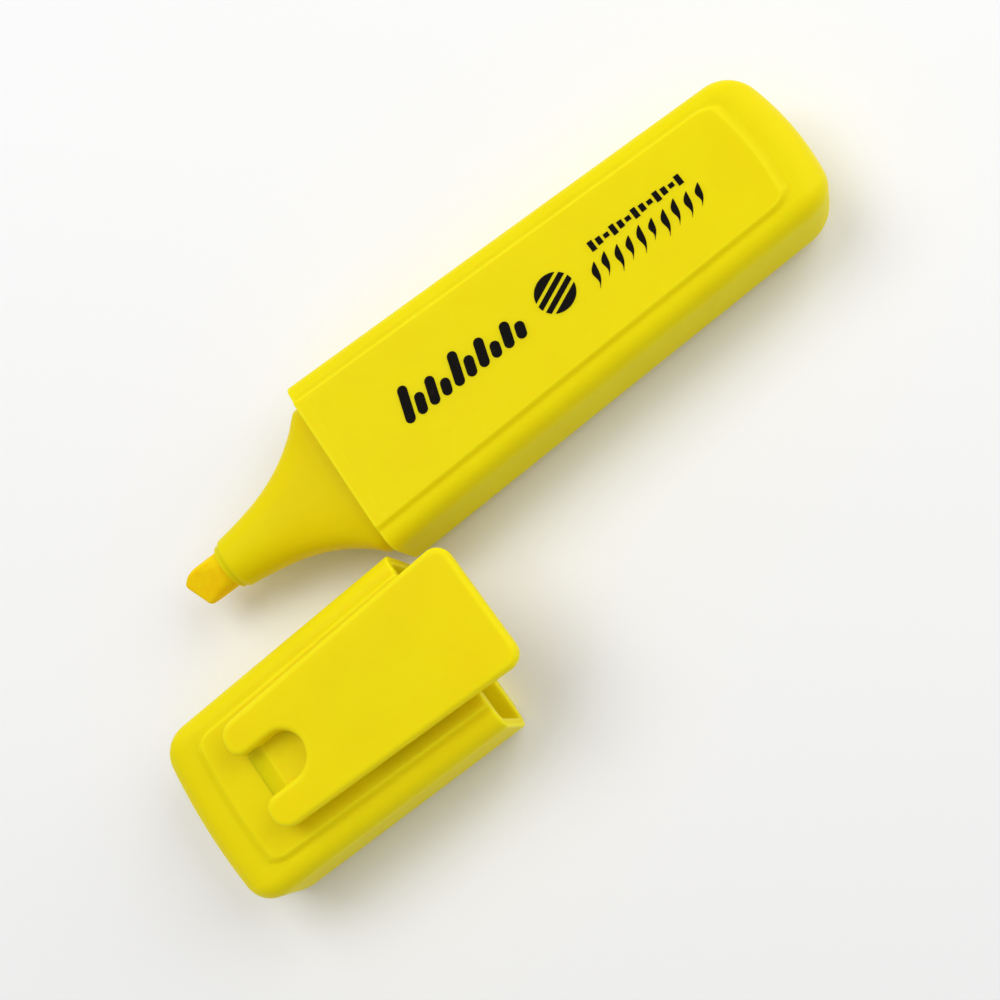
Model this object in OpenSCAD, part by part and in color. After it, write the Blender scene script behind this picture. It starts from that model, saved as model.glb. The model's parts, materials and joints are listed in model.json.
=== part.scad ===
// Flat-bodied highlighter with its cap lying beside it.
// Millimetres. +Z is up, +X runs along the pen towards its closed rear end.
// The origin is the middle of the flat that the barrel rests on.
// Every piece of the pen is drawn with x = 0 at the barrel's front rim, where the cap's rim meets it,
// and so is every piece of the cap, so cap and pen line up when both are drawn in that place.

/* [Body] */
// Width at the rim, the widest place
body_w = 27; // [25:0.5:29]
// Thickness over the two raised panels
body_t = 14; // [14:0.5:16]
// Length of the barrel from its rim to its closed rear end
barrel_l = 72.5; // [68:0.5:80]
// Length of the cap from its rim to its closed end
cap_l = 40.7; // [40.5:0.1:46]
// How much each side of the barrel draws in over its length
barrel_draw = 2.3; // [0.5:0.1:2.5]
// How much each side of the cap draws in over its length
cap_draw = 0.6; // [0.3:0.05:1.5]
// Radius of the long edges
edge_r = 2.5; // [2.4:0.1:3]
// Radius of the corners of the closed ends
corner_r = 4.3; // [3.5:0.1:4.5]
// Wall thickness
wall = 1.3; // [1:0.1:1.5]
// How far the middle of the rear end stands out past its corners
rear_crown = 1.3; // [0.5:0.1:2]
// How far the middle of the cap's closed end stands out past its corners
cap_crown = 0.8; // [0.3:0.1:1.5]

/* [Raised panels] */
// Height of each raised panel
panel_h = 0.6; // [0.4:0.1:0.8]
// Strip of lower surface beside the panel
panel_inset = 3; // [2:0.1:3.5]
// Distance from the rear end to the barrel's panel
barrel_panel_end = 6.5; // [5:0.5:9]
// Distance from the closed end to the cap's panel
cap_panel_end = 6.4; // [5:0.2:8]
// How much each side of the cap's panel draws in over its length
cap_panel_draw = 1; // [0.5:0.1:1.5]
// Corner radius of the panels
panel_r = 1.3; // [0.5:0.1:2]

/* [Nose and nib] */
// Length of the nose in front of the rim
nose_l = 21.2; // [19:0.1:22]
// Half width of the nose where it enters the barrel
nose_half_w = 11.7; // [11:0.1:11.8]
// Half thickness of the nose where it enters the barrel
nose_half_t = 4.8; // [4.5:0.1:4.9]
// Radius of the nose behind its collar
neck_r = 3.75; // [3.65:0.05:3.9]
// Radius of the collar round the nib
collar_r = 3.35; // [3.2:0.05:3.5]
// Radius of the fibre nib
nib_r = 2.8; // [2.5:0.1:2.9]
// Length of nib in front of the collar
nib_out = 7; // [5:0.1:8]
// Slant of the writing edge
nib_slant = 19; // [10:1:30]

/* [Ink] */
// Width of the fibre reservoir
reservoir_w = 20; // [16:0.5:20]
// Thickness of the fibre reservoir
reservoir_t = 7.8; // [7:0.1:7.8]
// Thickness of the film round the reservoir
film = 0.15; // [0.1:0.05:0.2]
// Radius of the breather tube
breather_r = 0.8; // [0.6:0.1:1]

/* [Clip] */
// Thickness of the clip plate
clip_t = 1.9; // [1.5:0.1:2.2]
// Gap between the plate and the cap's panel
clip_gap = 1.9; // [1.5:0.1:2.5]
// How far the plate reaches past the cap's rim
clip_over = 7.7; // [5:0.1:9]
// Half width of the plate at its free end
clip_half_w = 9.1; // [8.5:0.1:9.5]
// Half width of the plate at its fixed end
clip_half_w2 = 7.7; // [7:0.1:8.5]
// Distance from the cap's rim to the tips of the two prongs
clip_prongs = 29.6; // [28:0.1:31]
// Half width of the thumb scoop between the prongs
scoop_r = 3.2; // [2.5:0.1:3.6]

/* [Cap beside the barrel] */
// Sideways distance from the pen's middle line to the cap's, at the rims
cap_aside = 26.8; // [26.8:0.1:40]
// How far the middle of the cap's rim lies in front of the barrel's
cap_back = 0.75; // [0.75:0.05:2]
// Angle between the two middle lines
cap_turn = 2.1; // [0:0.1:4]

/* [Hidden] */
round_fn = 64;
end_steps = 6;
tip_r = 0.5;
eps = 0.01;

// The shell without its panels, and the space inside it
shell_t = body_t - 2 * panel_h;
mid_z = body_t / 2;
inner_r = edge_r - wall;
spigot_l = 8;
spigot_wall = 1;
spigot_w = body_w - 2 * wall - 2 * barrel_draw * spigot_l / barrel_l;
spigot_t = shell_t - 2 * wall;

// The nose's outline: a short land at the rim, the flare, then the collar
land_l = 1.6;
land_in = 0.5;
collar_l = 1;
flare_l = nose_l - land_l - collar_l;
flare_slope = 0.3;
flare_power = 3;
flare_steps = 16;
ring_points = 48;

// The fibre parts, inside the barrel
reservoir_x = 2;
reservoir_l = 61;
nib_in = 12;
chisel_angle = 24;
chisel_flat = 0.9;
breather_y = 6;
rib_w = 0.8;
rib_ys = [-6, 0, 6];
stop_ys = [-5, 5];

// The sealing cup inside the cap
cup_r = 4.1;
cup_wall = 0.8;
cup_mouth = 17.5;
cup_floor = 0.4;
cup_end = wall + cap_crown - cap_l;
cup_foot_l = 1.6;
cup_foot_r = 3.2;

// The clip's root, which stands on the cap's panel behind the scoop
plate_z = body_t + clip_gap;
root_x1 = -26.7;
root_x2 = -16;
root_half_w = 7.2;
root_clear = 0.03;
plate_corner_r = 2.3;
prong_r = 2.1;
scoop_x = -24.2;
scoop_floor = 0.5;

// Points round a centre, from angle a1 to a2
function arc(x, y, r, a1, a2, n = 8) =
    [for (i = [0 : n]) let (a = a1 + (a2 - a1) * i / n) [x + r * cos(a), y + r * sin(a)]];

// Outline of a rounded oblong round the middle line, in a plane across the pen at x
function station(x, half_w, half_t, r) =
    let (y = half_w - r, z = half_t - r)
    [for (p = concat(arc(y, z, r, 0, 90), arc(-y, z, r, 90, 180), arc(-y, -z, r, 180, 270), arc(y, -z, r, 270, 360)))
        [x, p[0], mid_z + p[1]]];

// Closed solid through a list of outlines that all have the same number of points, in order along +X
module loft(rings) {
    n = len(rings[0]);
    last = len(rings) - 1;
    sides = [for (k = [0 : last - 1], i = [0 : n - 1])
        let (j = (i + 1) % n)
        each [[k * n + i, (k + 1) * n + j, k * n + j], [k * n + i, (k + 1) * n + i, (k + 1) * n + j]]];
    polyhedron(points = [for (ring = rings, q = ring) q],
               faces = concat([[for (i = [0 : n - 1]) i]], sides, [[for (i = [n - 1 : -1 : 0]) last * n + i]]));
}

// A closed-ended bullet: open end flat at x = start, closed end towards +X. Its long edges have radius
// long_r and its end's corners radius r. A crowned end swells a little, and one with no crown is flat.
module bullet(start, length, half_w, draw, half_t, long_r, r, crown) {
    end_w = half_w - draw;
    loft(concat([station(start, half_w, half_t, long_r)],
                [for (q = [0 : end_steps])
                    let (a = 90 * q / end_steps, inset = r * (1 - cos(a)))
                    station(length - crown - r * (1 - sin(a)), end_w - inset, half_t - inset,
                            max(long_r * (1 - inset / r), tip_r))],
                [for (g = crown > 0 ? [0.75, 0.5, 0.25] : [])
                    station(length - crown * g * g, (end_w - r) * g, (half_t - r) * g, tip_r * g)]));
}

// Plan of a raised panel, narrowing with the shell
module panel_plan(length, half_w1, half_w2, r)
    polygon(concat([[0, -half_w1]], arc(length - r, r - half_w2, r, -90, 0),
                   arc(length - r, half_w2 - r, r, 0, 90), [[0, half_w1]]));

// Solid outside of the barrel or the cap, with its two panels
module moulding(length, draw, crown, panel_end, panel_draw) {
    half_w = body_w / 2;
    panel_l = length - panel_end;
    panel_w = half_w - panel_inset;
    bullet(0, length, half_w, draw, shell_t / 2, edge_r, corner_r, crown);
    linear_extrude(height = body_t)
        panel_plan(panel_l, panel_w, panel_w - panel_draw * panel_l / length, panel_r);
}

// The space inside the barrel or the cap, flat at its closed end
module cavity(length, draw, crown)
    bullet(-eps, length - wall - crown, body_w / 2 - wall, draw, shell_t / 2 - wall, inner_r,
           corner_r - wall, 0);

// A bar with half-round edges, lying along X
module flat_bar(x, length, width, thick)
    translate([x, 0, mid_z])
        rotate([0, 90, 0])
            linear_extrude(height = length)
                union() {
                    square([thick, width - thick], center = true);
                    for (s = [-1, 1])
                        translate([0, s * (width - thick) / 2])
                            circle(d = thick, $fn = round_fn);
                }

// A cylinder along X on the middle line
module rod(x, length, r, r2 = -1)
    translate([x, 0, mid_z])
        rotate([0, 90, 0])
            cylinder(h = length, r1 = r, r2 = r2 < 0 ? r : r2, $fn = round_fn);

// Puts the pen over the origin
module pen_place()
    translate([-barrel_l / 2, 0, 0])
        children();

// Lays the cap down beside the pen, its rim level with the barrel's
module cap_place()
    translate([-barrel_l / 2 - cap_back, -cap_aside, 0])
        rotate([0, 0, cap_turn])
            children();

// Closed-ended tube with three ribs on each wide wall and two stops for the reservoir
module barrel()
    color("gold")
        pen_place()
            difference() {
                moulding(barrel_l, barrel_draw, rear_crown, barrel_panel_end, barrel_draw);
                difference() {
                    cavity(barrel_l, barrel_draw, rear_crown);
                    barrel_ribs();
                }
            }

module barrel_ribs() {
    rib_h = (spigot_t - reservoir_t) / 2 - film;
    rib_x = spigot_l + 2;
    for (y = rib_ys, side = [-1, 1])
        translate([rib_x, y - rib_w / 2, mid_z + side * (spigot_t - rib_h) / 2 - rib_h / 2])
            cube([reservoir_x + reservoir_l - rib_x, rib_w, rib_h]);
    for (y = stop_ys)
        translate([reservoir_x + reservoir_l, y - rib_w / 2, 0])
            cube([barrel_l, rib_w, body_t]);
}

// Half width or half thickness of the flare, t from 0 at the neck to 1 at the land
function flare(t, half) = neck_r + (half - neck_r) * (flare_slope * t + (1 - flare_slope) * pow(t, flare_power));

// One ring of the flare, from round at the neck to a rounded oblong at the land
function flare_ring(t) =
    let (x = collar_l - nose_l + flare_l * t, hw = flare(t, nose_half_w), ht = flare(t, nose_half_t), p = 1 - 0.35 * t)
    [for (i = [0 : ring_points - 1])
        let (a = 360 * i / ring_points, c = cos(a), s = sin(a))
        [x, hw * sign(c) * pow(abs(c), p), mid_z + ht * sign(s) * pow(abs(s), p)]];

// Solid outside of the nose: the flare and a short land that runs a little way into the barrel
module flare_solid()
    loft(concat([for (k = [0 : flare_steps]) flare_ring(k / flare_steps)],
                [[for (q = flare_ring(1)) [land_in, q[1], q[2]]]]));

// Flared nose with the nib's bore, and the spigot that plugs into the barrel
module nose_section()
    color("yellow")
        pen_place()
            difference() {
                union() {
                    flare_solid();
                    rod(-nose_l, collar_l + 0.3, collar_r, neck_r - 0.1);
                    spigot();
                }
                rod(-nose_l - 1, nose_l + 2, nib_r);
                rod(-5, reservoir_x + 5.5, nib_r - 0.4, reservoir_t / 2);
                flat_bar(reservoir_x, spigot_l, spigot_w - 2 * spigot_wall, spigot_t - 2 * spigot_wall);
            }

// The oblong plug that the barrel is pushed over
module spigot() {
    slack = 0.05;
    half_w = spigot_w / 2 - slack;
    half_t = spigot_t / 2 - slack;
    translate([eps, 0, mid_z])
        rotate([90, 0, 90])
            linear_extrude(height = spigot_l)
                polygon(concat(arc(half_w - inner_r, half_t - inner_r, inner_r, 0, 90),
                               arc(inner_r - half_w, half_t - inner_r, inner_r, 90, 180),
                               arc(inner_r - half_w, inner_r - half_t, inner_r, 180, 270),
                               arc(half_w - inner_r, inner_r - half_t, inner_r, 270, 360)));
}

// Fibre rod with a slanted chisel tip
module nib() {
    tip_x = -nose_l - nib_out;
    color("orange")
        pen_place()
            difference() {
                rod(tip_x, nib_out + nose_l + nib_in, nib_r);
                for (side = [0, 1])
                    translate([tip_x, 0, mid_z])
                        mirror([0, 0, side])
                            translate([0, 0, chisel_flat / 2])
                                rotate([0, -chisel_angle, 0])
                                    translate([-nib_out, -body_w / 2, 0])
                                        cube([3 * nib_out, body_w, nib_out]);
                translate([tip_x, nib_r, mid_z])
                    rotate([0, 0, nib_slant])
                        translate([-nib_out, -body_w, -nib_r - 1])
                            cube([nib_out, body_w, 2 * nib_r + 2]);
            }
}

// Bonded fibre block that holds the ink, bored for the nib and the breather tube
module ink_reservoir()
    color("khaki")
        pen_place()
            difference() {
                flat_bar(reservoir_x, reservoir_l, reservoir_w, reservoir_t);
                rod(reservoir_x - 1, nib_in - reservoir_x + 1, nib_r);
                translate([0, breather_y, 0])
                    rod(reservoir_x - 1, reservoir_l + 2, breather_r);
            }

// Thin film wrapped round the reservoir
module reservoir_film()
    color("white")
        pen_place()
            difference() {
                flat_bar(reservoir_x, reservoir_l, reservoir_w + 2 * film, reservoir_t + 2 * film);
                flat_bar(reservoir_x - 1, reservoir_l + 2, reservoir_w, reservoir_t);
            }

// Thin tube that lets air in as the ink is used
module breather_tube()
    color("white")
        pen_place()
            translate([0, breather_y, 0])
                difference() {
                    rod(reservoir_x, reservoir_l, breather_r);
                    rod(reservoir_x - 1, reservoir_l + 2, breather_r * 0.6);
                }

// Cap moulding, open at its rim
module cap_shell()
    color("gold")
        cap_place()
            mirror([1, 0, 0])
                difference() {
                    moulding(cap_l, cap_draw, cap_crown, cap_panel_end, cap_panel_draw);
                    cavity(cap_l, cap_draw, cap_crown);
                }

// Sealing cup that closes on the nose's neck and stops the nib drying out
module inner_cap()
    color("yellow")
        cap_place()
            difference() {
                union() {
                    rod(cup_end, cup_foot_l, cup_foot_r, cup_r + cup_wall);
                    rod(cup_end + cup_foot_l, -cup_mouth - cup_end - cup_foot_l, cup_r + cup_wall);
                }
                rod(cup_end + cup_floor + cup_foot_l, cap_l, cup_r);
            }

// Plan of the clip plate, wider towards its free end, with two round-tipped prongs
module plate_plan() {
    tip_x = clip_over;
    half_w1 = clip_half_w;
    half_w2 = clip_half_w2;
    difference() {
        polygon(concat(arc(tip_x - plate_corner_r, plate_corner_r - half_w1, plate_corner_r, -90, 0),
                       arc(tip_x - plate_corner_r, half_w1 - plate_corner_r, plate_corner_r, 0, 90),
                       arc(prong_r - clip_prongs, half_w2 - prong_r, prong_r, 90, 180),
                       arc(prong_r - clip_prongs, prong_r - half_w2, prong_r, 180, 270)));
        translate([scoop_x, 0])
            circle(r = scoop_r, $fn = round_fn);
        translate([scoop_x - clip_prongs, -scoop_r])
            square([clip_prongs, 2 * scoop_r]);
    }
}

// Springy clip plate on its root, with the thumb scoop between its prongs
module clip()
    color("gold")
        cap_place()
            union() {
                translate([0, 0, plate_z])
                    linear_extrude(height = clip_t)
                        plate_plan();
                difference() {
                    translate([root_x1, -root_half_w, body_t + root_clear])
                        cube([root_x2 - root_x1, 2 * root_half_w, clip_gap - root_clear]);
                    translate([scoop_x, 0, body_t + scoop_floor])
                        cylinder(h = clip_gap, r = scoop_r, $fn = round_fn);
                    translate([scoop_x - scoop_r, -scoop_r, body_t + scoop_floor])
                        cube([scoop_r, 2 * scoop_r, clip_gap]);
                }
            }

barrel();
nose_section();
nib();
ink_reservoir();
reservoir_film();
breather_tube();
cap_shell();
inner_cap();
clip();
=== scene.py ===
import json
import math

import bmesh
import bpy
import numpy as np
from mathutils import Matrix, Vector


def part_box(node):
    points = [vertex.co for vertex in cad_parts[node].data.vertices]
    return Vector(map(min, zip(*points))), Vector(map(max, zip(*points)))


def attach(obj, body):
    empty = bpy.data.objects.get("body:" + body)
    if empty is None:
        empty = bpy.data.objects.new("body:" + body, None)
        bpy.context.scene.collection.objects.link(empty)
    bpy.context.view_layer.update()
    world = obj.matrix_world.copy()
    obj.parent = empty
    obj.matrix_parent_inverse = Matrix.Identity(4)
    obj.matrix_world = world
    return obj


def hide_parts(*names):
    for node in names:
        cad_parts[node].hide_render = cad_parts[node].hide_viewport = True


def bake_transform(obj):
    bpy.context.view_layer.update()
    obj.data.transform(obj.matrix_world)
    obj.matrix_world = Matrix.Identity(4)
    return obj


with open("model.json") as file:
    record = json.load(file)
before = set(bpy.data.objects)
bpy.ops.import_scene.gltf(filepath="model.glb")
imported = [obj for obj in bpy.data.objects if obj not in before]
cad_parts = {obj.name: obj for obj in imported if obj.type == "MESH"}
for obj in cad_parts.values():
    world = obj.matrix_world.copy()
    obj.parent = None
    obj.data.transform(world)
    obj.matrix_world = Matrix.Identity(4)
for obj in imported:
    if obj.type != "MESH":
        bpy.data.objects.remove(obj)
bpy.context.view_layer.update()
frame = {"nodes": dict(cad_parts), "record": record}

# Barrel
# One closed-ended tube of satin yellow polypropylene, injection moulded, a little narrower at its
# closed rear end. Each wide face has a raised panel with a soft step down to the rounded long edges.
mm = 0.001
barrel_low, barrel_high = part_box("barrel")
rim_x = barrel_low[0]
barrel_l = (barrel_high[0] - barrel_low[0]) / mm
body_w = (barrel_high[1] - barrel_low[1]) / mm
body_t = (barrel_high[2] - barrel_low[2]) / mm
panel_h = 0.6
wall = 1.3
edge_r = 2.5
corner_r = 4.3
barrel_draw = 2.3
rear_crown = 1.3
barrel_panel_end = 6.5
pen_place = Matrix.Translation((rim_x, 0, body_t / 2 * mm)) @ Matrix.Scale(mm, 4)

YELLOW = (0.87, 0.72, 0.003)
DEEP_YELLOW = (0.81, 0.61, 0.002)


def soft_step(value, low, high):
    t = np.clip((np.float64(value) - low) / (high - low), 0, 1)
    return t * t * (3 - 2 * t)


def oblong(half_w, half_t, r):
    """Outline of a rounded oblong, with close-set points where the panel's step runs along it."""
    flat_y, flat_z = half_w - r, half_t - r
    beside = np.arange(1, 15) * 0.13 * min(1, flat_y / 9)
    middle = np.linspace(-1, 1, 17)[1:-1] * (flat_y - beside[-1])
    across = np.concatenate([beside - flat_y, middle, flat_y - beside[::-1]])
    turn = np.linspace(0, math.pi / 2, 11)
    upright = np.linspace(1, -1, 9)[1:-1] * flat_z
    corner_y, corner_z = flat_y + r * np.sin(turn), flat_z + r * np.cos(turn)
    quarter_y = np.concatenate([corner_y, np.full(len(upright), half_w), corner_y[::-1]])
    quarter_z = np.concatenate([corner_z, upright, -corner_z[::-1]])
    y = np.concatenate([across, quarter_y, -across, -quarter_y])
    flat = np.full(len(across), half_t)
    z = np.concatenate([flat, quarter_z, -flat, -quarter_z])
    return y, z


def loft_mesh(rings, closed_loop=False):
    """Vertices and faces of a skin through rings; its ends are shut unless it closes on itself."""
    n = len(rings[0])
    count = len(rings)
    faces = []
    for k in range(count if closed_loop else count - 1):
        a, b = k * n, (k + 1) % count * n
        faces += [(a + i, a + (i + 1) % n, b + (i + 1) % n, b + i) for i in range(n)]
    if not closed_loop:
        faces += [tuple(range(n - 1, -1, -1)), tuple((count - 1) * n + i for i in range(n))]
    return np.concatenate(rings), faces


def finish_piece(name, verts, faces, place, material):
    """A piece with its place in its mesh, outward faces, smooth shading and its edges marked for wear."""
    mesh = bpy.data.meshes.new(name)
    mesh.from_pydata([place @ Vector(v) for v in verts], [], faces)
    bm = bmesh.new()
    bm.from_mesh(mesh)
    bmesh.ops.remove_doubles(bm, verts=bm.verts, dist=1e-7)
    bmesh.ops.recalc_face_normals(bm, faces=bm.faces)
    bm.to_mesh(mesh)
    bm.free()
    mesh.shade_smooth()
    piece = bpy.data.objects.new(name, mesh)
    bpy.context.scene.collection.objects.link(piece)
    mesh.materials.append(material)
    mark_edges(mesh)
    return piece


def mark_edges(mesh):
    """Store how far each point stands out from its neighbours: handling polishes those edges."""
    count = len(mesh.vertices)
    place = np.empty(count * 3)
    normal = np.empty(count * 3)
    ends = np.empty(len(mesh.edges) * 2, dtype=np.int64)
    mesh.vertices.foreach_get("co", place)
    mesh.vertices.foreach_get("normal", normal)
    mesh.edges.foreach_get("vertices", ends)
    place, normal, ends = place.reshape(-1, 3), normal.reshape(-1, 3), ends.reshape(-1, 2)
    span = place[ends[:, 1]] - place[ends[:, 0]]
    length = np.linalg.norm(span, axis=1) + 1e-9
    bend = np.zeros(count)
    for side, sign in ((0, 1), (1, -1)):
        fall = -sign * np.einsum("ij,ij->i", span, normal[ends[:, side]]) / length ** 2
        np.maximum.at(bend, ends[:, side], fall)
    wear = np.clip(bend * mm * 0.9, 0, 1)
    mesh.attributes.new("edge_wear", "FLOAT", "POINT").data.foreach_set("value", wear.astype(np.float32))


def shell_skin(length, draw, crown, panel_end, panel_pinch=0.0):
    """Rings of a closed-ended shell: up the inside, round the rim, then down the outside."""
    half_w, half_t = body_w / 2, body_t / 2 - panel_h
    soft_r = corner_r * 1.14
    side_l = length - crown - soft_r
    end_w = half_w - draw
    rim_r = 0.2
    panel_x = length - panel_end - crown / 2
    bend = np.radians(np.arange(0, 91, 7.5))
    rings = []

    def side_w(x):
        return half_w - draw * np.clip(x / side_l, 0, 1)

    def panel_at(x, y):
        beside = side_w(x) - 3.0 - panel_pinch * x / length - np.abs(y)
        ahead = (panel_x - x) * 0.6
        corner = 1.5
        near = corner - np.hypot(np.maximum(corner - beside, 0), np.maximum(corner - ahead, 0))
        inside = np.where((beside < corner) & (ahead < corner), near, np.minimum(beside, ahead))
        return soft_step(inside, -0.46, 0.46)

    def add(x, inset, r, panel, swell=0.0, shrink=1.0):
        """One ring; inset is measured from the outer face, and swell bows the closed end outwards."""
        w, t = side_w(x) - inset, half_t - inset
        y, z = oblong(w * shrink, t * shrink, r * shrink)
        z_panel = body_t / 2 - min(inset, wall)
        raised = panel_at(x, y) * panel
        lift = np.maximum(z_panel - np.abs(z), 0) * raised * (np.abs(z) > t - edge_r)
        sink = 0.04 * np.exp(-((x - 2.2) / 0.35) ** 2) * (panel > 0.9) * (np.abs(y) < half_w - 4)
        z = np.sign(z) * (np.abs(z) + lift - sink * (np.abs(z) > half_t - 1))
        bow = crown * (1 - 1.25 * (y / end_w) ** 2) * swell
        rings.append(np.column_stack([x + bow, y, z]))

    def swell_at(x):
        return float(soft_step(x, side_l - 12, side_l))

    inner_r = edge_r - wall
    inner_corner = corner_r - wall
    for g in (0.1, 0.4, 0.7):
        add(length - wall - crown, corner_r, 0.3, 0, shrink=g)
    for a in bend[::-1][1:]:
        inset = inner_corner * (1 - math.cos(a))
        inner_turn = max(inner_r * (1 - inset / inner_corner), 0.3)
        add(length - wall - crown - inner_corner * (1 - math.sin(a)), wall + inset, inner_turn, 0)
    for x in (side_l * 0.6, side_l * 0.3, 6, 2, 0.6):
        add(x, wall, inner_r, 0)
    for a in bend[::3]:
        edge = rim_r * (1 - math.cos(a))
        add(rim_r * (1 - math.sin(a)), wall - edge, inner_r + edge, 0)
    add(0, wall * 0.6, edge_r - wall * 0.6, 0.45)
    for a in bend[::-3]:
        inset = rim_r * (1 - math.cos(a))
        add(rim_r * (1 - math.sin(a)), inset, edge_r - inset, 1)
    near_rim = [0.5, 0.9, 1.3, 1.6, 1.8, 2.0, 2.2, 2.4, 2.6, 2.9, 3.3, 4.0]
    along = np.arange(6, panel_x - 2.6, 2.5)
    near_step = np.arange(panel_x - 2.4, side_l - 0.05, 0.13)
    for x in [*near_rim, *along, *near_step]:
        add(x, 0, edge_r, 1, swell=swell_at(x))
    for a in np.radians(np.arange(0, 91, 5)):
        inset = soft_r * (1 - max(math.cos(a), 0) ** 0.86)
        turn = max(edge_r * (1 - inset / soft_r), 0.3)
        add(side_l + soft_r * math.sin(a) ** 0.86, inset, turn, 1, swell=1)
    for g in (0.85, 0.7, 0.5, 0.3, 0.1):
        add(length - crown, soft_r, 0.3, 0, swell=1, shrink=g)
    return loft_mesh(rings)


def moulded_plastic(name, colour, deep, roughness=0.42):
    """Satin moulded plastic: faint mottling, fine mould grain, handling scuffs and polished edges."""
    material = bpy.data.materials.new(name)
    material.use_nodes = True
    nodes, links = material.node_tree.nodes, material.node_tree.links
    shader = nodes["Principled BSDF"]
    shader.inputs["IOR"].default_value = 1.2
    shader.inputs["Specular IOR Level"].default_value = 0.22
    shader.inputs["Subsurface Weight"].default_value = 0.5
    shader.inputs["Subsurface Radius"].default_value = (1.0, 0.75, 0.12)
    shader.inputs["Subsurface Scale"].default_value = 0.0022
    place = nodes.new("ShaderNodeTexCoord").outputs["Object"]

    mottle = nodes.new("ShaderNodeTexNoise")
    mottle.inputs["Scale"].default_value = 120
    mottle.inputs["Detail"].default_value = 4
    links.new(place, mottle.inputs["Vector"])
    tint = nodes.new("ShaderNodeMix")
    tint.data_type = "RGBA"
    tint.inputs["A"].default_value = (*colour, 1)
    tint.inputs["B"].default_value = (*deep, 1)
    share = nodes.new("ShaderNodeMapRange")
    share.inputs["From Min"].default_value = 0.4
    share.inputs["From Max"].default_value = 0.8
    share.inputs["To Max"].default_value = 0.35
    links.new(mottle.outputs["Fac"], share.inputs["Value"])
    links.new(share.outputs["Result"], tint.inputs["Factor"])

    wear = nodes.new("ShaderNodeAttribute")
    wear.attribute_name = "edge_wear"
    polish = nodes.new("ShaderNodeMix")
    polish.data_type = "RGBA"
    rubbed = (min(colour[0] * 1.06, 1), min(colour[1] * 1.08, 1), colour[2] * 3, 1)
    polish.inputs["B"].default_value = rubbed
    links.new(tint.outputs["Result"], polish.inputs["A"])
    links.new(wear.outputs["Fac"], polish.inputs["Factor"])
    links.new(polish.outputs["Result"], shader.inputs["Base Color"])

    scuff_place = nodes.new("ShaderNodeMapping")
    scuff_place.inputs["Scale"].default_value = (0.08, 1.0, 1.0)
    scuff_place.inputs["Rotation"].default_value = (0, 0, 0.3)
    links.new(place, scuff_place.inputs["Vector"])
    scuffs = nodes.new("ShaderNodeTexNoise")
    scuffs.inputs["Scale"].default_value = 2600
    scuffs.inputs["Detail"].default_value = 3
    links.new(scuff_place.outputs["Vector"], scuffs.inputs["Vector"])
    satin = nodes.new("ShaderNodeMapRange")
    satin.inputs["From Min"].default_value = 0.35
    satin.inputs["From Max"].default_value = 0.7
    satin.inputs["To Min"].default_value = roughness - 0.04
    satin.inputs["To Max"].default_value = roughness + 0.07
    links.new(scuffs.outputs["Fac"], satin.inputs["Value"])
    gloss = nodes.new("ShaderNodeMath")
    gloss.operation = "MULTIPLY_ADD"
    gloss.inputs[1].default_value = -0.1
    links.new(wear.outputs["Fac"], gloss.inputs[0])
    links.new(satin.outputs["Result"], gloss.inputs[2])
    links.new(gloss.outputs["Value"], shader.inputs["Roughness"])

    grain = nodes.new("ShaderNodeTexNoise")
    grain.inputs["Scale"].default_value = 4200
    grain.inputs["Detail"].default_value = 2
    links.new(place, grain.inputs["Vector"])
    swell = nodes.new("ShaderNodeTexNoise")
    swell.inputs["Scale"].default_value = 160
    links.new(place, swell.inputs["Vector"])
    wave = nodes.new("ShaderNodeBump")
    wave.inputs["Strength"].default_value = 0.25
    wave.inputs["Distance"].default_value = 0.00012
    links.new(swell.outputs["Fac"], wave.inputs["Height"])
    bump = nodes.new("ShaderNodeBump")
    bump.inputs["Strength"].default_value = 0.12
    bump.inputs["Distance"].default_value = 0.00003
    links.new(grain.outputs["Fac"], bump.inputs["Height"])
    links.new(wave.outputs["Normal"], bump.inputs["Normal"])
    links.new(bump.outputs["Normal"], shader.inputs["Normal"])
    return material


body_plastic = moulded_plastic("satin_yellow_plastic", YELLOW, DEEP_YELLOW)
barrel_skin = shell_skin(barrel_l, barrel_draw, rear_crown, barrel_panel_end)
barrel = finish_piece("barrel_moulding", *barrel_skin, pen_place, body_plastic)
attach(barrel, "pen")
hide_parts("barrel")


# Nose section
# The flared front moulding in the same plastic. Its oblong spigot is pressed into the barrel, and its
# collar grips the nib, so it turns from a rounded oblong at the rim to a round neck.
nose_low, nose_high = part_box("nose_section")
nose_l = (rim_x - nose_low[0]) / mm
spigot_l = (nose_high[0] - rim_x) / mm
nose_half_w = 11.7
nose_half_t = 4.8
neck_r = 3.75
collar_r = 3.35
collar_l = 1.0
land_l = 1.6
nib_r = 2.8


def squircle(x, half_w, half_t, power, n=112):
    """A ring between a circle, power 1, and a rounded oblong, power about 0.5."""
    a = np.linspace(0, 2 * math.pi, n, endpoint=False)
    c, s = np.cos(a), np.sin(a)
    y = half_w * np.sign(c) * np.abs(c) ** power
    z = half_t * np.sign(s) * np.abs(s) ** power
    return np.column_stack([np.full(n, x), y, z])


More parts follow.
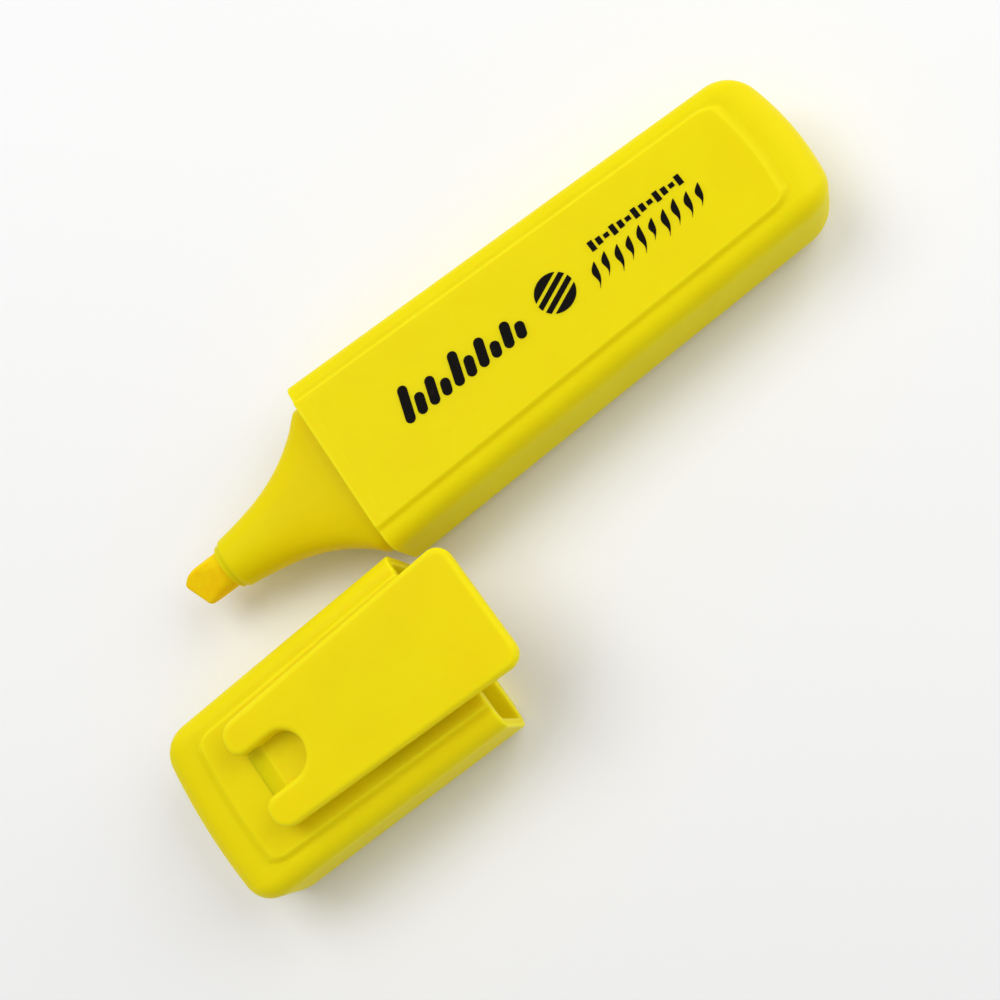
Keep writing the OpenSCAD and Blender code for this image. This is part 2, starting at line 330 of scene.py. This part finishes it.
def nose_rings():
    flare_l = nose_l - land_l - collar_l
    rings = [squircle(x, nose_half_w, nose_half_t, 0.65) for x in (0.5, -0.6)]
    for t in np.linspace(1, 0, 44):
        flare = 0.3 * t + 0.7 * t ** 3
        soft = 0.25 * soft_step(np.float64(t), 0.9, 1.0) * (1 - flare)
        w = neck_r + (nose_half_w - neck_r) * (flare + soft)
        h = neck_r + (nose_half_t - neck_r) * (flare + soft)
        rings.append(squircle(collar_l - nose_l + flare_l * t, w, h, 1 - 0.35 * t))
    collar_x = -nose_l
    lip = 0.25
    rings.append(squircle(collar_x + collar_l * 0.85, collar_r + 0.18, collar_r + 0.18, 1))
    rings.append(squircle(collar_x + collar_l * 0.65, collar_r + 0.04, collar_r + 0.04, 1))
    for a in np.radians([0, 22, 45, 68, 90]):
        lip_r = collar_r - lip * (1 - math.cos(a))
        rings.append(squircle(collar_x + lip * (1 - math.sin(a)), lip_r, lip_r, 1))
    rings.append(squircle(collar_x, nib_r + 0.06, nib_r + 0.06, 1))
    rings.append(squircle(collar_x + 0.08, nib_r, nib_r, 1))
    rings.append(squircle(-4, nib_r, nib_r, 1))
    rings.append(squircle(1.5, 4.2, 4.2, 1))
    rings.append(squircle(2, 10.9, 4.2, 0.5))
    rings.append(squircle(spigot_l, 10.9, 4.2, 0.5))
    rings.append(squircle(spigot_l, 11.6, 5.0, 0.4))
    rings.append(squircle(2.4, 11.6, 5.0, 0.4))
    rings.append(squircle(2.2, 12.0, 5.03, 0.25))
    rings.append(squircle(0.66, 12.08, 5.04, 0.25))
    rings.append(squircle(0.55, 12.0, 4.97, 0.25))
    return rings


# The nose's plastic is a darker copy of the barrel's yellow: painted shade for the shade the flared nose
# sits in, not a different plastic.
nose = finish_piece("nose_moulding", *loft_mesh(nose_rings(), True), pen_place,
                    moulded_plastic("satin_yellow_nose_painted_shade", (0.83, 0.67, 0.002), (0.77, 0.56, 0.001), 0.42))
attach(nose, "pen")
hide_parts("nose_section")


# Nib
# A rod of bonded polyester fibre, ground to a slanted chisel and soaked through with yellow ink, so it
# is darker than the plastic. It is pushed through the collar into the reservoir.
nib_low, nib_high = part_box("nib")
nib_out = (nose_low[0] - nib_low[0]) / mm
nib_tail = (nib_high[0] - rim_x) / mm
NIB_AMBER = (0.97, 0.71, 0.003)
NIB_DEEP = (0.92, 0.58, 0.002)


def round_both(a, b, r):
    """Distance to what lies inside both of two solids, their shared edge rounded to radius r."""
    corner = np.hypot(np.maximum(a + r, 0), np.maximum(b + r, 0)) - r
    return np.where((a > -r) & (b > -r), corner, np.maximum(a, b))


def round_either(a, b, r):
    """Distance to what lies inside either of two solids, with a fillet of radius r between them."""
    return -round_both(-a, -b, r)


def shaped_skin(distance, low, high, step):
    """Quads round the solid where distance(x, y, z) is below zero, drawn tight onto its surface."""
    counts = [int(math.ceil((h - l) / step)) + 1 for l, h in zip(low, high)]
    axes = [low[i] + step * np.arange(counts[i]) for i in range(3)]
    field = distance(*np.meshgrid(*axes, indexing="ij"))
    inside = field < 0
    corners = np.stack([inside[a:a - 1 or None, b:b - 1 or None, c:c - 1 or None]
                        for a in (0, 1) for b in (0, 1) for c in (0, 1)])
    mixed = corners.any(0) & ~corners.all(0)
    index = np.full(mixed.shape, -1)
    index[mixed] = np.arange(mixed.sum())
    points = (np.argwhere(mixed) + 0.5) * step + np.array(low)
    for _ in range(6):
        value = distance(*points.T)
        small = step * 0.02
        ahead = [distance(*(points + small * np.eye(3)[k]).T) for k in range(3)]
        slope = (np.stack(ahead, 1) - value[:, None]) / small
        steep = np.maximum((slope ** 2).sum(1), 0.2)[:, None]
        points -= np.clip(value, -step, step)[:, None] * slope / steep
    faces = []
    for k in range(3):
        u, v = [i for i in range(3) if i != k]
        change = np.argwhere(np.diff(inside.astype(np.int8), axis=k) != 0)
        change = change[(change[:, u] > 0) & (change[:, v] > 0)]
        cells = []
        for du, dv in ((0, 0), (1, 0), (1, 1), (0, 1)):
            cell = change.copy()
            cell[:, u] -= du
            cell[:, v] -= dv
            cells.append(index[tuple(cell.T)])
        faces += [tuple(q) for q in np.stack(cells, 1) if min(q) >= 0]
    return points, faces


def nib_distance(x, y, z):
    """A round rod with a slanted edge, two flat bevels, and its long corner worn round by writing."""
    tip_x = -nose_l - nib_out
    slant, bevel, worn = math.radians(23), math.radians(24), math.radians(30)
    rod = np.hypot(y, z) - nib_r + 0.03
    end = (tip_x - 0.3 - x) * math.cos(slant) + (nib_r - y) * math.sin(slant)
    chisel = (np.abs(z) - 0.5) * math.cos(bevel) + end * math.sin(bevel)
    corner = (tip_x + 1.2 - x) * math.sin(worn) + (y - 2.35) * math.cos(worn)
    solid = round_both(rod, chisel, 0.45)
    solid = round_both(solid, corner, 0.9)
    solid = round_both(solid, end, 0.5)
    return round_both(solid, x - nib_tail, 0.5)


def soaked_fibre(name, colour, deep):
    """Bonded fibre with lengthwise strands, wet with ink, paler where the strands catch the light."""
    material = bpy.data.materials.new(name)
    material.use_nodes = True
    nodes, links = material.node_tree.nodes, material.node_tree.links
    shader = nodes["Principled BSDF"]
    shader.inputs["Subsurface Weight"].default_value = 0.25
    shader.inputs["Subsurface Radius"].default_value = (1.0, 0.5, 0.05)
    shader.inputs["Subsurface Scale"].default_value = 0.0012
    shader.inputs["IOR"].default_value = 1.25
    shader.inputs["Specular IOR Level"].default_value = 0.15
    place = nodes.new("ShaderNodeTexCoord").outputs["Object"]
    strand_place = nodes.new("ShaderNodeMapping")
    strand_place.inputs["Scale"].default_value = (0.06, 1.0, 1.0)
    links.new(place, strand_place.inputs["Vector"])
    strands = nodes.new("ShaderNodeTexNoise")
    strands.inputs["Scale"].default_value = 5200
    strands.inputs["Detail"].default_value = 4
    links.new(strand_place.outputs["Vector"], strands.inputs["Vector"])
    blotch = nodes.new("ShaderNodeTexNoise")
    blotch.inputs["Scale"].default_value = 520
    links.new(place, blotch.inputs["Vector"])
    both = nodes.new("ShaderNodeMath")
    both.operation = "MULTIPLY"
    links.new(strands.outputs["Fac"], both.inputs[0])
    links.new(blotch.outputs["Fac"], both.inputs[1])
    share = nodes.new("ShaderNodeMapRange")
    share.inputs["From Min"].default_value = 0.12
    share.inputs["From Max"].default_value = 0.42
    links.new(both.outputs["Value"], share.inputs["Value"])
    tint = nodes.new("ShaderNodeMix")
    tint.data_type = "RGBA"
    tint.inputs["A"].default_value = (*deep, 1)
    tint.inputs["B"].default_value = (*colour, 1)
    links.new(share.outputs["Result"], tint.inputs["Factor"])
    links.new(tint.outputs["Result"], shader.inputs["Base Color"])
    damp = nodes.new("ShaderNodeMapRange")
    damp.inputs["To Min"].default_value = 0.5
    damp.inputs["To Max"].default_value = 0.78
    links.new(blotch.outputs["Fac"], damp.inputs["Value"])
    links.new(damp.outputs["Result"], shader.inputs["Roughness"])
    bump = nodes.new("ShaderNodeBump")
    bump.inputs["Strength"].default_value = 0.3
    bump.inputs["Distance"].default_value = 0.00006
    links.new(strands.outputs["Fac"], bump.inputs["Height"])
    links.new(bump.outputs["Normal"], shader.inputs["Normal"])
    return material


nib_skin = shaped_skin(nib_distance, (-nose_l - nib_out - 0.5, -3.2, -3.2),
                       (nib_tail + 0.5, 3.2, 3.2), 0.22)
nib = finish_piece("fibre_nib", *nib_skin, pen_place, soaked_fibre("ink_soaked_nib", NIB_AMBER, NIB_DEEP))
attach(nib, "pen")
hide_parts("nib")


# Ink reservoir, its film and the breather tube
# Sealed inside the barrel: a block of fibre wrapped in clear film, with a thin tube through it that
# lets air in. Their shapes are right as they are, so only their materials are made here.
def dress(node, material):
    slots = frame["nodes"][node].material_slots
    if not slots:
        frame["nodes"][node].data.materials.append(material)
    for slot in slots:
        slot.material = material


def clear_film(name):
    material = bpy.data.materials.new(name)
    material.use_nodes = True
    nodes, links = material.node_tree.nodes, material.node_tree.links
    shader = nodes["Principled BSDF"]
    shader.inputs["Base Color"].default_value = (0.9, 0.9, 0.86, 1)
    shader.inputs["Alpha"].default_value = 0.45
    crease = nodes.new("ShaderNodeTexNoise")
    crease.inputs["Scale"].default_value = 300
    links.new(nodes.new("ShaderNodeTexCoord").outputs["Object"], crease.inputs["Vector"])
    gloss = nodes.new("ShaderNodeMapRange")
    gloss.inputs["To Min"].default_value = 0.08
    gloss.inputs["To Max"].default_value = 0.3
    links.new(crease.outputs["Fac"], gloss.inputs["Value"])
    links.new(gloss.outputs["Result"], shader.inputs["Roughness"])
    bump = nodes.new("ShaderNodeBump")
    bump.inputs["Strength"].default_value = 0.2
    bump.inputs["Distance"].default_value = 0.0001
    links.new(crease.outputs["Fac"], bump.inputs["Height"])
    links.new(bump.outputs["Normal"], shader.inputs["Normal"])
    return material


dress("ink_reservoir", soaked_fibre("ink_soaked_filler", (0.82, 0.74, 0.05), (0.7, 0.58, 0.02)))
dress("reservoir_film", clear_film("clear_film"))
dress("breather_tube", moulded_plastic("natural_plastic", (0.8, 0.8, 0.74), (0.7, 0.7, 0.62), 0.45))


# Cap shell
# The same moulding as the barrel's front, open at its rim and closed at the other end, with the same
# raised panels, so that the two run into each other when the cap is on.
cap_l = 40.7
cap_draw = 0.6
cap_crown = 0.8
cap_panel_end = 6.4
slide = next(j for j in frame["record"]["behaviour"]["joints"] if j["name"] == "cap_slide")
cap_turn = math.atan2(-slide["axis"][1], -slide["axis"][0])
gap_mount = next(m for m in frame["record"]["mounts"] if m["name"] == "clip_gap")
cap_rim = Vector(gap_mount["pos_m"]) + 5 * mm * Vector((math.cos(cap_turn), math.sin(cap_turn), 0))
cap_rim.z = body_t / 2 * mm
cap_place = Matrix.Translation(cap_rim) @ Matrix.Rotation(cap_turn, 4, "Z") @ Matrix.Scale(mm, 4)

cap_skin = shell_skin(cap_l, cap_draw, cap_crown, cap_panel_end, 0.4)
cap = finish_piece("cap_moulding", *cap_skin, cap_place @ Matrix.Scale(-1, 4, (1, 0, 0)),
                   moulded_plastic("satin_yellow_cap", YELLOW, DEEP_YELLOW))
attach(cap, "cap")
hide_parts("cap_shell")


# Inner cap
# A sealing cup of softer plastic, pressed into the closed end of the cap. Its mouth closes round the
# neck of the nose and keeps the nib from drying.
cup_mouth = 17.5
cup_r = 4.1
cup_out_r = 4.9
cup_foot = 38.6


def cup_rings():
    lip = 0.3
    profile = [(-cup_foot, 0.2), (-cup_foot, 3.2), (1.6 - cup_foot, cup_out_r)]
    profile += [(-cup_mouth - 3.2, cup_out_r), (-cup_mouth - 3.0, cup_out_r + 0.12)]
    profile += [(-cup_mouth - 2.6, cup_out_r + 0.12)]
    profile += [(-cup_mouth - 2.4, cup_out_r), (-cup_mouth - lip, cup_out_r)]
    profile += [(-cup_mouth - 0.08, cup_out_r - 0.1), (-cup_mouth, cup_out_r - lip)]
    profile += [(-cup_mouth, cup_r + lip), (-cup_mouth - 0.1, cup_r + 0.08)]
    profile += [(-cup_mouth - lip, cup_r), (-cup_mouth - 1.2, cup_r - 0.05)]
    profile += [(-cup_mouth - 2, cup_r), (2.6 - cup_foot, cup_r)]
    profile += [(2.1 - cup_foot, cup_r - 0.5), (2.1 - cup_foot, 0.2)]
    return [squircle(x, r, r, 1, 72) for x, r in profile]


cup_plastic = moulded_plastic("soft_yellow_plastic", (0.88, 0.74, 0.03), (0.8, 0.64, 0.02), 0.5)
inner_cap = finish_piece("sealing_cup", *loft_mesh(cup_rings()), cap_place, cup_plastic)
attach(inner_cap, "cap")
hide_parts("inner_cap")


# Clip
# A wide plate moulded with the cap, sprung from a root near the closed end. Two round-tipped prongs
# reach back from it on both sides of a dished thumb scoop. On the real cap the plate bends from the root
# to its free end; here it is built as one fixed shape.
clip_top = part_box("clip")[1][2]
plate_top = clip_top / mm - body_t / 2
plate_t = 1.9
plate_bottom = plate_top - plate_t
panel_z = body_t / 2
free_end = 7.7
prong_end = -29.6
half_w_free = 9.1
half_w_fixed = 7.7
scoop_x = -24.2
scoop_r = 3.2
root_front = -26.7
root_back = -16.0
root_half_w = 7.2
ramp_toe = -29.2
crest_x = -26.6
crest_h = 0.95


def clip_distance(x, y, z):
    taper = (half_w_free - half_w_fixed) / (free_end - prong_end)
    beside = np.abs(y) - half_w_fixed - taper * (x - prong_end)
    plan = round_both(round_both(beside, x - free_end, 2.3), prong_end - x, 2.2)
    slot = np.where(x > scoop_x, np.hypot(x - scoop_x, y), np.abs(y)) - scoop_r
    plan = round_both(plan, -slot, 1.7)
    plate = round_both(round_both(plan, z - plate_top, 0.75), plate_bottom - z, 0.3)
    hollow = np.clip(1 - ((x + 23.8) / 2.8) ** 2, 0, 1) * np.clip(1 - (y / 3.4) ** 2, 0, 1)
    ramp = 0.02 + (x - ramp_toe) * crest_h / (crest_x - ramp_toe)
    over_floor = z - panel_z - np.minimum(crest_h - 0.2 * hollow, ramp)
    root = round_both(round_both(np.abs(y) - root_half_w, root_front - x, 0.8), x - root_back, 0.8)
    root = np.maximum(np.maximum(root, panel_z + 0.03 - z), z - plate_bottom - 0.4)
    root = round_both(root, np.minimum(-slot, over_floor), 0.3)
    apron = round_both(np.abs(y) - scoop_r - 1.0, ramp_toe - x, 0.5)
    apron = np.maximum(np.maximum(apron, x + 22), np.maximum(over_floor, panel_z - 0.2 - z))
    return round_either(round_either(plate, root, 0.4), apron, 0.25)


clip_skin = shaped_skin(clip_distance, (prong_end - 0.6, -9.9, panel_z - 0.4),
                        (free_end + 0.6, 9.9, plate_top + 0.5), 0.25)
clip = finish_piece("clip_plate", *clip_skin, cap_place,
                    moulded_plastic("satin_yellow_clip", YELLOW, DEEP_YELLOW, 0.4))
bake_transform(clip)
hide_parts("clip")


# Printing
# Black ink pad-printed on the barrel's panel, a film too thin to feel. Every mark is a plain pattern:
# bold slanted bars, a disc with three strokes left out of it, a row of dashes and brush touches.
INK_BLACK = (0.006, 0.005, 0.004)
ink_under = body_t / 2 - 0.02
ink_over = body_t / 2 + 0.015


def printing_ink(name):
    material = bpy.data.materials.new(name)
    material.use_nodes = True
    nodes, links = material.node_tree.nodes, material.node_tree.links
    shader = nodes["Principled BSDF"]
    place = nodes.new("ShaderNodeTexCoord").outputs["Object"]
    thin = nodes.new("ShaderNodeTexNoise")
    thin.inputs["Scale"].default_value = 1500
    thin.inputs["Detail"].default_value = 3
    links.new(place, thin.inputs["Vector"])
    share = nodes.new("ShaderNodeMapRange")
    share.inputs["From Min"].default_value = 0.55
    share.inputs["From Max"].default_value = 0.85
    share.inputs["To Max"].default_value = 0.25
    links.new(thin.outputs["Fac"], share.inputs["Value"])
    shader.inputs["IOR"].default_value = 1.25
    shader.inputs["Specular IOR Level"].default_value = 0.08
    tint = nodes.new("ShaderNodeMix")
    tint.data_type = "RGBA"
    tint.inputs["A"].default_value = (*INK_BLACK, 1)
    tint.inputs["B"].default_value = (0.05, 0.035, 0.006, 1)
    links.new(share.outputs["Result"], tint.inputs["Factor"])
    links.new(tint.outputs["Result"], shader.inputs["Base Color"])
    gloss = nodes.new("ShaderNodeMapRange")
    gloss.inputs["To Min"].default_value = 0.42
    gloss.inputs["To Max"].default_value = 0.6
    links.new(thin.outputs["Fac"], gloss.inputs["Value"])
    links.new(gloss.outputs["Result"], shader.inputs["Roughness"])
    return material


black_ink = printing_ink("black_printing_ink")


def printed(name, outlines):
    """A printed mark from closed outlines, each a list of points in order round the mark."""
    verts, faces = [], []
    for outline in outlines:
        n, first = len(outline), len(verts)
        verts += [(x, y, ink_under) for x, y in outline] + [(x, y, ink_over) for x, y in outline]
        faces += [(first + i, first + (i + 1) % n, first + n + (i + 1) % n, first + n + i)
                  for i in range(n)]
        faces += [tuple(first + i for i in range(n - 1, -1, -1)),
                  tuple(first + n + i for i in range(n))]
    mark = finish_piece(name, verts, faces, pen_place, black_ink)
    mark.data.shade_flat()
    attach(mark, "pen")
    return mark


def slanted_bar(x, foot, head, width, lean=0.42):
    """A bold bar with round ends that leans forward."""
    rise = math.hypot(head - foot, (head - foot) * lean)
    tilt = math.atan2(head - foot, (head - foot) * lean)
    r = width / 2
    ends = []
    for middle, start in ((rise - r, -math.pi / 2), (r, math.pi / 2)):
        ends += [(middle + r * math.cos(start + a), r * math.sin(start + a))
                 for a in np.linspace(0, math.pi, 13)]
    return [(x + u * math.cos(tilt) - v * math.sin(tilt), foot + u * math.sin(tilt) + v * math.cos(tilt))
            for u, v in ends]


bold_heads = (2.4, 0.3, 1.2, -0.3, 2.0, 0.2, 1.3, -0.4, 0.9, -0.3)
printed("printed_bars", [slanted_bar(11.6 + 1.98 * k, -2.0, head + 0.6, 1.4, 0.3)
                         for k, head in enumerate(bold_heads)])


def disc_slices():
    """A disc cut into four by three slanted strokes of bare plastic."""
    r, gap, lean = 2.75, 0.45, math.radians(25)
    slices = []
    for low, high in ((-r, -1.45), (-1.45 + gap, -gap / 2), (gap / 2, 1.45 - gap), (1.45, r)):
        levels = np.linspace(low, high, 24)
        reach = np.sqrt(np.maximum(r * r - levels ** 2, 1e-4))
        edge = [*zip(reach, levels), *zip(-reach[::-1], levels[::-1])]
        slices.append([(36.0 + u * math.cos(lean) - v * math.sin(lean),
                        0.3 + u * math.sin(lean) + v * math.cos(lean)) for u, v in edge])
    return slices


printed("printed_disc", disc_slices())


def brush_tick(x, foot, head, lean, width):
    """One touch of a brush, pointed at its foot and fullest above its middle."""
    along = np.linspace(0, 1, 17)
    spread = width / 2 * np.sin(math.pi * along ** 1.6) + 0.03
    across, up = x + lean * along + 0.18 * np.sin(2 * math.pi * along), foot + (head - foot) * along
    return [*zip(across + spread, up), *zip(across[::-1] - spread[::-1], up[::-1])]


tick_feet = (-2.9, -2.3, -3.0, -2.5, -2.9, -2.2, -3.0, -2.6, -2.8, -2.4)
printed("printed_ticks", [brush_tick(40.9 + 1.78 * k, foot, 0.5 + 0.3 * (k % 3 == 1), 1.3, 0.85)
                          for k, foot in enumerate(tick_feet)])


def dash_row():
    """Geometry Nodes: a row of box-shaped dashes set along a line, their heights stepping down in a
    repeating run of three.
    """
    tree = bpy.data.node_groups.new("dash_row", "GeometryNodeTree")
    tree.interface.new_socket("Geometry", in_out="OUTPUT", socket_type="NodeSocketGeometry")
    for name, kind, value in (("Dashes", "NodeSocketInt", 13), ("Pitch", "NodeSocketFloat", 1.12),
                              ("Dash length", "NodeSocketFloat", 0.75),
                              ("Dash height", "NodeSocketFloat", 1.5),
                              ("Ink", "NodeSocketMaterial", None)):
        socket = tree.interface.new_socket(name, in_out="INPUT", socket_type=kind)
        if value is not None:
            socket.default_value = value
    nodes, links = tree.nodes, tree.links
    given = nodes.new("NodeGroupInput").outputs
    spacing = nodes.new("ShaderNodeCombineXYZ")
    links.new(given["Pitch"], spacing.inputs["X"])
    line = nodes.new("GeometryNodeMeshLine")
    links.new(given["Dashes"], line.inputs["Count"])
    links.new(spacing.outputs["Vector"], line.inputs["Offset"])
    size = nodes.new("ShaderNodeCombineXYZ")
    links.new(given["Dash length"], size.inputs["X"])
    links.new(given["Dash height"], size.inputs["Y"])
    size.inputs["Z"].default_value = ink_over - ink_under
    dash = nodes.new("GeometryNodeMeshCube")
    links.new(size.outputs["Vector"], dash.inputs["Size"])
    number = nodes.new("GeometryNodeInputIndex")
    odd = nodes.new("ShaderNodeMath")
    odd.operation = "MODULO"
    odd.inputs[1].default_value = 3
    links.new(number.outputs["Index"], odd.inputs[0])
    shrink = nodes.new("ShaderNodeMapRange")
    shrink.inputs["From Max"].default_value = 2
    shrink.inputs["To Min"].default_value = 1
    shrink.inputs["To Max"].default_value = 0.45
    links.new(odd.outputs["Value"], shrink.inputs["Value"])
    scale = nodes.new("ShaderNodeCombineXYZ")
    scale.inputs["X"].default_value = 1
    scale.inputs["Z"].default_value = 1
    links.new(shrink.outputs["Result"], scale.inputs["Y"])
    on_line = nodes.new("GeometryNodeInstanceOnPoints")
    links.new(line.outputs["Mesh"], on_line.inputs["Points"])
    links.new(dash.outputs["Mesh"], on_line.inputs["Instance"])
    links.new(scale.outputs["Vector"], on_line.inputs["Scale"])
    real = nodes.new("GeometryNodeRealizeInstances")
    links.new(on_line.outputs["Instances"], real.inputs["Geometry"])
    inked = nodes.new("GeometryNodeSetMaterial")
    links.new(real.outputs["Geometry"], inked.inputs["Geometry"])
    links.new(given["Ink"], inked.inputs["Material"])
    links.new(inked.outputs["Geometry"], nodes.new("NodeGroupOutput").inputs["Geometry"])
    return tree


def grown(name, tree, **values):
    """The mesh that a Geometry Nodes tree makes, with its inputs set by name."""
    holder = bpy.data.objects.new(name + "_maker", bpy.data.meshes.new(name + "_maker"))
    bpy.context.scene.collection.objects.link(holder)
    modifier = holder.modifiers.new("maker", "NODES")
    modifier.node_group = tree
    for socket in tree.interface.items_tree:
        if socket.in_out == "INPUT" and socket.name in values:
            modifier[socket.identifier] = values[socket.name]
    graph = bpy.context.evaluated_depsgraph_get()
    mesh = bpy.data.meshes.new_from_object(holder.evaluated_get(graph))
    mesh.name = name
    bpy.data.objects.remove(holder)
    return mesh


dashes = grown("printed_dashes", dash_row(), Ink=black_ink)
dashes.transform(pen_place @ Matrix.Translation((43.2, 2.3, (ink_under + ink_over) / 2)))
dash_piece = bpy.data.objects.new("printed_dashes", dashes)
bpy.context.scene.collection.objects.link(dash_piece)
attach(dash_piece, "pen")


# Floor, light and camera
# A plain white sweep under soft studio light that comes from one side, seen from above and a little
# from the front, with the pen running across the picture.
aim = Vector((rim_x + 14.48 * mm, -15.46 * mm, 8 * mm))
camera_azimuth = math.radians(23.72)
camera_elevation = math.radians(73.04)
camera_roll = math.radians(-59.52)
camera_distance = 0.18
to_camera = Vector((math.sin(camera_azimuth) * math.cos(camera_elevation),
                    -math.cos(camera_azimuth) * math.cos(camera_elevation), math.sin(camera_elevation)))
level = Vector((math.cos(camera_azimuth), math.sin(camera_azimuth), 0))
upright = to_camera.cross(level)
picture_right = math.cos(camera_roll) * level + math.sin(camera_roll) * upright
picture_up = math.cos(camera_roll) * upright - math.sin(camera_roll) * level


def facing(location, right, up, back):
    turn = Matrix((right, up, back)).transposed().to_4x4()
    return Matrix.Translation(location) @ turn


camera = bpy.data.objects.new("camera", bpy.data.cameras.new("camera"))
camera.data.lens = 50.22
camera.data.sensor_width = 36
camera.data.clip_start = 0.01
camera.matrix_world = facing(aim + to_camera * camera_distance, picture_right, picture_up, to_camera)
bpy.context.scene.collection.objects.link(camera)
bpy.context.scene.camera = camera
bpy.context.scene.view_settings.view_transform = "Standard"

floor_mesh = bpy.data.meshes.new("floor")
floor_mesh.from_pydata([(-3, -3, 0), (3, -3, 0), (3, 3, 0), (-3, 3, 0)], [], [(0, 1, 2, 3)])
floor = bpy.data.objects.new("floor", floor_mesh)
bpy.context.scene.collection.objects.link(floor)
paper = bpy.data.materials.new("white_paper")
paper.use_nodes = True
paper.node_tree.nodes["Principled BSDF"].inputs["Base Color"].default_value = (0.93, 0.93, 0.93, 1)
paper.node_tree.nodes["Principled BSDF"].inputs["Roughness"].default_value = 0.9
floor_mesh.materials.append(paper)


def soft_box(name, direction, distance, size, power):
    """A square area light that looks at the pen from the given direction."""
    light = bpy.data.objects.new(name, bpy.data.lights.new(name, "AREA"))
    light.data.size = size
    light.data.energy = power
    back = direction.normalized()
    turn = back.to_track_quat("Z", "Y").to_matrix().to_4x4()
    light.matrix_world = Matrix.Translation(aim + back * distance) @ turn
    bpy.context.scene.collection.objects.link(light)


soft_box("key_light", -0.9 * picture_right + 0.5 * picture_up + 0.9 * to_camera, 0.6, 0.4, 1.55)
soft_box("side_light", 0.5 * picture_right + 0.8 * picture_up + 0.8 * to_camera, 0.5, 0.45, 1.15)
world = bpy.data.worlds.new("studio")
world.use_nodes = True
world.node_tree.nodes["Background"].inputs["Color"].default_value = (1, 1, 1, 1)
world.node_tree.nodes["Background"].inputs["Strength"].default_value = 0.44
bpy.context.scene.world = world
